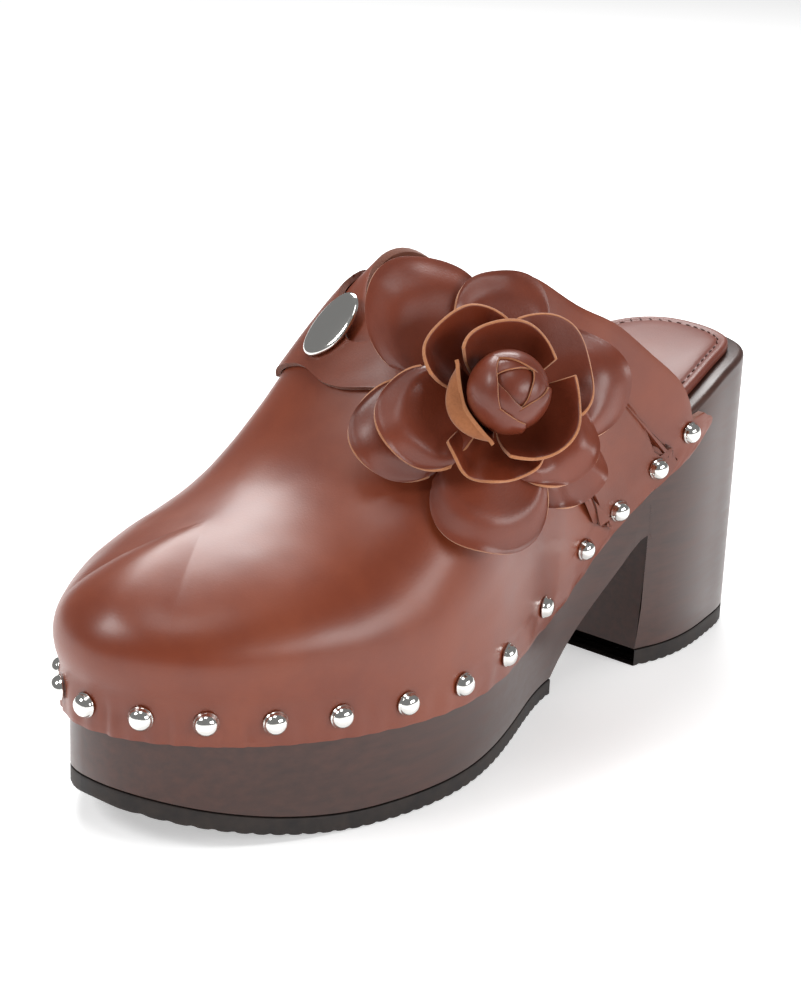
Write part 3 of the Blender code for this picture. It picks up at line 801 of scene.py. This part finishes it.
def makeUpper():
    count = vamp["lowRows"] + vamp["highRows"]

    def place(u, v):
        row = v * count
        if row <= vamp["lowRows"]:
            rise = -1 + row / vamp["lowRows"]
        else:
            rise = (row - vamp["lowRows"]) / vamp["highRows"]
        side = 1 if u <= 0.5 else -1
        share = 2 * u if side > 0 else 2 - 2 * u
        start = turnOf(collarLine(rise))
        turn = start + (math.pi - start) * share ** 0.94
        turn = turn if side > 0 else 2 * math.pi - turn
        if rise >= 0.9999:
            half = min(turn, 2 * math.pi - turn)
            return (vampPoint(half, 1.0) + vampPoint(2 * math.pi - half, 1.0)) / 2
        return vampPoint(turn, rise)

    bm = newGrid(vamp["columns"], count, place)
    closeUp(bm, 0.00002)
    piece = newPiece("upper", bm, [vampLeather, liningLeather, darkEdge], 60)
    leatherWall(piece, last["wall"], -1, vamp["cutRound"])
    settle(piece, "leather", "upper")


band = {
    "wall": 0.0017,
    "columns": 46,
    "rows": 150,
    "endRise": -0.78,
    "cornerShare": 0.34,
    "cornerRise": 0.50,
    "cutRound": 0.0004,
}

# The band is gathered under the flower: side, start and end (station, rise), half width, depth
bandFolds = (
    (1, (0.400, 0.26), (0.300, 0.02), 0.0034, 0.0005),
    (1, (0.430, 0.22), (0.318, 0.00), 0.0032, -0.0004),
    (1, (0.450, 0.30), (0.330, 0.06), 0.0030, 0.0004),
    (1, (0.350, 0.18), (0.275, -0.10), 0.0032, -0.0003),
)


def makeBand():
    def endRise(across):
        edge = (abs(2 * across - 1) - (1 - band["cornerShare"])) / band["cornerShare"]
        edge = min(max(edge, 0.0), 1.0)
        return band["endRise"] + band["cornerRise"] * (1 - math.sqrt(1 - edge ** 2))

    lines = []
    for side, start, end, width, depth in bandFolds:
        points = []
        for i in range(7):
            t = i / 6
            station = start[0] + (end[0] - start[0]) * t
            rise = start[1] + (end[1] - start[1]) * t
            points.append(skin(sideTurn(side, station), rise))
        lines.append((points, width, depth))

    def place(u, v):
        side = 1 if v <= 0.5 else -1
        share = 2 * v if side > 0 else 2 - 2 * v
        low = endRise(u)
        rise = low + (1 - low) * share
        rear = turnOf(bandRear(rise))
        front = turnOf(bandFront(rise))
        turn = rear + (front - rear) * u
        spots = []
        for way in ((side,) if rise < 0.9999 else (1, -1)):
            angle = turn if way > 0 else 2 * math.pi - turn
            point = skin(angle, rise)
            lift = last["gap"] + relief(point, lines) + noise.noise(point * 160.0) * 0.00012
            spots.append(point + skinNormal(angle, rise) * max(lift, 0.0003))
        return sum(spots, Vector((0, 0, 0))) / len(spots)

    bm = newGrid(band["columns"], band["rows"], place)
    closeUp(bm, 0.00002)
    bm.normal_update()
    outer = sum(face.normal.dot(face.calc_center_median() - Vector((0, -0.1, 0.06))) for face in bm.faces)
    if outer < 0:
        bmesh.ops.reverse_faces(bm, faces=bm.faces)
    piece = newPiece("instepBand", bm, [bandLeather, liningLeather, darkEdge], 60)
    leatherWall(piece, band["wall"], 1, band["cutRound"])
    settle(piece, "band_leather", "instep_band")


makeUpper()
makeBand()
print("upper and band made")


# Studs and plate

studs = {
    "radius": 0.00325,
    "height": 0.0028,
    "frontRise": -0.46,
    "rearRise": -0.30,
    "gap": 0.0003,
    "bandLift": 0.0021,
    "bandStations": (0.24, 0.32),
    "outer": (0.983, 0.944, 0.890, 0.828, 0.755, 0.678, 0.588, 0.458, 0.350, 0.305, 0.254, 0.203),
    "inner": (0.988, 0.955, 0.908, 0.846, 0.774, 0.696, 0.612, 0.528, 0.444, 0.365, 0.305, 0.254, 0.203),
}


def makeStuds():
    # A pressed dome with a thin rolled rim, turned once for each place
    profile = ((1.0, 0.0), (1.03, 0.06), (1.02, 0.14), (0.96, 0.20), (0.93, 0.30), (0.86, 0.50),
               (0.72, 0.72), (0.52, 0.88), (0.27, 0.97), (0.0, 1.0))
    places = [("stud_toe", math.pi, 1.0)]
    for label, side, row in (("lateral", 1, studs["outer"]), ("medial", -1, studs["inner"])):
        for number, station in enumerate(row, 1):
            places.append((f"stud_{label}_{number:02d}", sideTurn(side, station), station))
    bm = bmesh.new()
    for name, turn, station in places:
        ahead = smoothStep((station - 0.36) / 0.24)
        seat = skin(turn, studs["rearRise"] + (studs["frontRise"] - studs["rearRise"]) * ahead)
        lift = studs["gap"]
        if studs["bandStations"][0] < station < studs["bandStations"][1]:
            lift += studs["bandLift"]
        out = outwards(turn).to_3d()
        spot = Matrix.Translation(seat + out * lift) @ out.to_track_quat("Z", "Y").to_matrix().to_4x4()
        points = [bm.verts.new((studs["radius"] * x, 0, studs["height"] * z)) for x, z in profile]
        points.append(bm.verts.new((0, 0, 0)))
        edges = [bm.edges.new(pair) for pair in zip(points, points[1:])]
        edges.append(bm.edges.new((points[-1], points[0])))
        made = bmesh.ops.spin(bm, geom=points + edges, cent=(0, 0, 0), axis=(0, 0, 1),
                              angle=2 * math.pi, steps=28, use_duplicate=False, use_merge=True)
        whole = {vert for vert in bm.verts if not vert.tag}
        for vert in whole:
            vert.co = spot @ vert.co
            vert.tag = True
    closeUp(bm, 0.000004)
    piece = newPiece("studs", bm, [polishedMetal], 50)
    settle(piece, "metal", *[name for name, turn, station in places])


plate = {
    "station": 0.628,
    "rise": 0.86,
    "length": 0.020,
    "width": 0.014,
    "wall": 0.0014,
    "lift": 0.0026,
}


def makePlate():
    # A plain oval plate, slightly domed, that follows the band
    turn = sideTurn(-1, plate["station"])
    rise = plate["rise"]
    around = (skin(turn + 0.01, rise) - skin(turn - 0.01, rise)).length / 0.02
    up = (skin(turn, rise + 0.01) - skin(turn, rise - 0.01)).length / 0.02
    path = ((0.0, 1.25), (0.3, 1.22), (0.6, 1.12), (0.85, 0.98), (0.93, 0.90), (0.98, 0.74), (1.0, 0.5),
            (0.99, 0.2), (0.95, 0.0), (0.5, 0.0), (0.0, 0.0))

    def place(u, v):
        share, height = path[round(v * (len(path) - 1))]
        angle = 2 * math.pi * u
        atTurn = turn + share * plate["length"] / 2 * math.cos(angle) / around
        atRise = rise + share * plate["width"] / 2 * math.sin(angle) / up
        if atRise > 1:
            atRise = 2 - atRise
            atTurn = 2 * math.pi - atTurn
        return skin(atTurn, atRise) + skinNormal(atTurn, atRise) * (plate["lift"] + plate["wall"] * height)

    bm = newGrid(64, len(path) - 1, place)
    closeUp(bm, 0.000004)
    piece = newPiece("plate", bm, [polishedMetal], 50)
    settle(piece, "metal", "plaque")


makeStuds()
makePlate()
print("studs and plate made")


# Flower

flower = {
    "station": 0.600,
    "rise": 0.465,
    "facing": (0.70, -0.54, 0.47),
    "radius": 0.0430,
    "core": 0.0053,
    "wall": 0.0010,
    "cutRound": 0.00026,
    "grid": 40,
    "budHeight": 0.0275,
    "budRadius": 0.0100,
}

# Azimuth and half spread in degrees, reach as a share of the flower's radius, heights of root and tip,
# power of the cup, rounding of the tip, rim rolled down (< 0) or up, rim folded inwards, lift of the left
# and right side, height, count and phase of the waves along the rim
petalRow = namedtuple(
    "petalRow", "name azimuth spread reach root tip cup rounding roll fold left right wave count phase"
)
petals = (
    petalRow("outer_1", 120, 38, 1.06, 0.0068, 0.0080, 1.6, 0.78, -0.0034, 0, -0.0012, -0.0004, 0.0013, 1.6, 0.4),
    petalRow("outer_2", 78, 34, 0.86, 0.0070, 0.0104, 1.6, 0.74, -0.0030, 0, 0.0014, 0.0014, 0.0009, 1.3, 2.0),
    petalRow("outer_3", 15, 43, 0.94, 0.0068, 0.0066, 1.6, 0.80, -0.0040, 0, 0.0012, -0.0012, 0.0018, 1.9, 1.2),
    petalRow("outer_4", 322, 34, 0.86, 0.0068, 0.0056, 1.6, 0.80, -0.0034, 0, -0.0012, -0.0012, 0.0018, 2.6, 0.0),
    petalRow("outer_5", 266, 40, 0.92, 0.0082, 0.0110, 1.6, 0.76, -0.0044, 0, 0.0012, 0.0012, 0.0014, 1.5, 2.6),
    petalRow("outer_6", 194, 36, 0.88, 0.0080, 0.0112, 1.6, 0.76, -0.0038, 0, -0.0014, -0.0014, 0.0016, 1.7, 0.8),
    petalRow("middle_1", 192, 44, 0.74, 0.0124, 0.0170, 1.8, 0.74, -0.0034, 0, -0.0014, 0.0014, 0.0014, 1.8, 1.0),
    petalRow("middle_2", 124, 46, 0.58, 0.0124, 0.0225, 2.0, 0.60, 0.0008, 0, -0.0016, 0.0016, 0.0009, 1.9, 2.2),
    petalRow("middle_3", 30, 50, 0.62, 0.0124, 0.0210, 2.0, 0.62, 0.0000, 0, -0.0016, 0.0016, 0.0009, 1.5, 0.0),
    petalRow("middle_4", 325, 44, 0.70, 0.0124, 0.0150, 1.8, 0.76, -0.0030, 0, -0.0014, 0.0014, 0.0018, 2.3, 0.6),
    petalRow("middle_5", 258, 46, 0.53, 0.0128, 0.0205, 2.0, 0.58, 0.0008, 0, -0.0016, 0.0016, 0.0012, 2.8, 1.5),
    petalRow("inner_1", 198, 56, 0.44, 0.0166, 0.0275, 1.6, 0.60, 0.0, 0.0072, -0.0014, 0.0014, 0.0007, 1.7, 0.5),
    petalRow("inner_2", 85, 60, 0.42, 0.0166, 0.0275, 1.8, 0.50, 0.0012, 0, -0.0014, 0.0014, 0.0009, 1.6, 1.9),
    petalRow("inner_3", 318, 58, 0.46, 0.0166, 0.0275, 1.8, 0.52, 0.0008, 0, -0.0014, 0.0014, 0.0012, 1.9, 0.9),
)


def flowerFrame():
    seat = skin(turnOf(flower["station"]), flower["rise"])
    out = Vector(flower["facing"]).normalized()
    right = Vector((0, 0, 1)).cross(out).normalized()
    return seat, right, out.cross(right), out


def makePetals():
    seat, right, up, out = flowerFrame()
    for row in petals:
        def place(u, v):
            across = 2 * u - 1
            wavy = 1 + 0.02 * math.sin(5 * across + 2 * row.phase)
            far = flower["radius"] * row.reach * wavy * math.sqrt(1 - (row.rounding * across) ** 2)
            radius = flower["core"] + (far - flower["core"]) * v
            angle = math.radians(row.azimuth + row.spread * (1 - 0.10 * v) * across)
            height = row.root + (row.tip - row.root) * v ** row.cup + row.left + (row.right - row.left) * u
            height += row.roll * smoothStep((v - 0.68) / 0.32) ** 1.4
            height += row.wave * math.sin(row.count * math.pi * across + row.phase) * v ** 3
            folded = smoothStep((v - 0.70) / 0.30) * max(0.0, math.cos(across * math.pi / 2)) ** 0.6
            radius -= row.fold * folded ** 1.3
            height -= row.fold * 0.25 * folded ** 2
            point = seat + (right * math.cos(angle) + up * math.sin(angle)) * radius + out * height
            dents = noise.noise(point * 62.0) * 0.0011 + noise.noise(point * 150.0) * 0.0003
            return point + out * dents * v

        bm = newGrid(flower["grid"], flower["grid"], place)
        bm.normal_update()
        if sum(face.normal.dot(out) for face in bm.faces) < 0:
            bmesh.ops.reverse_faces(bm, faces=bm.faces)
        piece = newPiece(f"petal.{row.name}", bm, [petalLeather, suede, cutEdge], 60)
        leatherWall(piece, flower["wall"], 0, flower["cutRound"])
        settle(piece, "flower_leather", f"petal_{row.name}")


# The bud's own petals: azimuth, half spread, top edge and its fall to the sides in degrees, share of radius
budPetals = (
    (100, 80, 26, 26, 0.90), (340, 80, 24, 28, 0.92), (220, 80, 22, 28, 0.94),
    (60, 62, 34, 22, 0.97), (300, 58, 36, 24, 0.99), (180, 66, 30, 24, 1.01), (235, 50, 46, 20, 1.04),
)


def makeBud():
    seat, right, up, out = flowerFrame()
    centre = seat + out * flower["budHeight"]
    ball = flower["budRadius"]
    turned = Matrix((right, up, out)).transposed().to_4x4()
    bm = bmesh.new()
    size = Matrix.Diagonal((ball * 0.86, ball * 0.86, ball * 0.86, 1))
    bmesh.ops.create_uvsphere(bm, u_segments=32, v_segments=20, radius=1.0,
                              matrix=Matrix.Translation(centre) @ turned @ size)
    stem = flower["budHeight"] - 0.006
    spot = Matrix.Translation(seat + out * (stem / 2 + 0.006)) @ turned
    bmesh.ops.create_cone(bm, cap_ends=True, segments=24, radius1=0.0048, radius2=0.0048,
                          depth=stem - 0.006, matrix=spot)
    piece = newPiece("flowerBud", bm, [petalLeather], 50)
    settle(piece, "flower_leather", "flower_bud")
    for number, (azimuth, spread, top, fall, share) in enumerate(budPetals, 1):
        def place(u, v):
            across = 2 * u - 1
            angle = math.radians(azimuth + spread * across)
            start = top + fall * across ** 2
            polar = math.radians(start + (118 - start) * v)
            radius = ball * (share + 0.05 * u - 0.03 * smoothStep(1 - v * 6))
            flat = right * math.cos(angle) + up * math.sin(angle)
            return centre + (flat * math.sin(polar) + out * math.cos(polar)) * radius

        bm = newGrid(24, 24, place)
        bm.normal_update()
        if sum(face.normal.dot(face.calc_center_median() - centre) for face in bm.faces) < 0:
            bmesh.ops.reverse_faces(bm, faces=bm.faces)
        piece = newPiece(f"budPetal.{number}", bm, [petalLeather, suede, cutEdge], 60)
        leatherWall(piece, 0.0007, 0, 0.0002)
        settle(piece, "flower_leather")


makePetals()
makeBud()
print("flower made")


# Floor, lights and camera

studio = {
    "floorSize": 60.0,
    "floorTone": (0.90, 0.90, 0.90),
    "floorGlow": 0.45,
    "worldTone": (1.0, 1.0, 1.0),
    "worldStrength": 0.22,
    "target": (0.0, -0.12, 0.06),
}

# Softboxes: name, azimuth from +X and elevation in degrees, distance, width, height, power
softboxes = (
    ("back left softbox", 138, 52, 1.5, 1.00, 0.7, 22),
    ("front left softbox", -113, 42, 1.3, 0.40, 0.40, 6),
    ("right softbox", 6, 20, 1.4, 0.9, 0.42, 9),
    ("high fill", -60, 75, 2.4, 0.8, 0.8, 8),
)


def makeStudio():
    bm = bmesh.new()
    bmesh.ops.create_grid(bm, x_segments=2, y_segments=2, size=studio["floorSize"])
    paint, tree, shader = newPaint("pale floor", Base_Color=(*studio["floorTone"], 1), Roughness=0.7)
    shader.inputs["Emission Color"].default_value = (1, 1, 1, 1)
    shader.inputs["Emission Strength"].default_value = studio["floorGlow"]
    floor = newPiece("floor", bm, [paint], 30)
    world = bpy.data.worlds.new("studio")
    world.use_nodes = True
    back = world.node_tree.nodes["Background"]
    back.inputs["Color"].default_value = (*studio["worldTone"], 1)
    back.inputs["Strength"].default_value = studio["worldStrength"]
    bpy.context.scene.world = world
    target = Vector(studio["target"])
    for name, azimuth, elevation, distance, width, height, power in softboxes:
        around = math.radians(azimuth)
        above = math.radians(elevation)
        way = Vector((math.cos(around) * math.cos(above), math.sin(around) * math.cos(above), math.sin(above)))
        light = bpy.data.lights.new(name, "AREA")
        light.shape = "RECTANGLE"
        light.size = width
        light.size_y = height
        light.energy = power
        lamp = bpy.data.objects.new(name, light)
        lamp.location = target + way * distance
        lamp.rotation_euler = (-way).to_track_quat("-Z", "Y").to_euler()
        bpy.context.scene.collection.objects.link(lamp)


camera = {
    "place": (0.3773287, -0.5706, 0.27317331),
    "azimuth": 39.5065,
    "elevation": 19.239,
    "roll": 2.37,
    "lens": 81.095,
}


def makeCamera():
    turn = math.radians(camera["azimuth"])
    rise = math.radians(camera["elevation"])
    roll = math.radians(camera["roll"])
    right = Vector((math.cos(turn), math.sin(turn), 0))
    back = Vector((math.sin(turn) * math.cos(rise), -math.cos(turn) * math.cos(rise), math.sin(rise)))
    up = back.cross(right)
    rolled = right * math.cos(roll) + up * math.sin(roll)
    up = up * math.cos(roll) - right * math.sin(roll)
    data = bpy.data.cameras.new("camera")
    data.sensor_fit = "VERTICAL"
    data.sensor_height = 36
    data.lens = camera["lens"]
    view = bpy.data.objects.new("camera", data)
    turned = Matrix((rolled, up, back)).transposed().to_4x4()
    view.matrix_world = Matrix.Translation(camera["place"]) @ turned
    bpy.context.scene.collection.objects.link(view)
    bpy.context.scene.camera = view


makeStudio()
makeCamera()
bpy.context.scene.view_settings.view_transform = "Standard"
bpy.context.view_layer.update()
print("studio made")
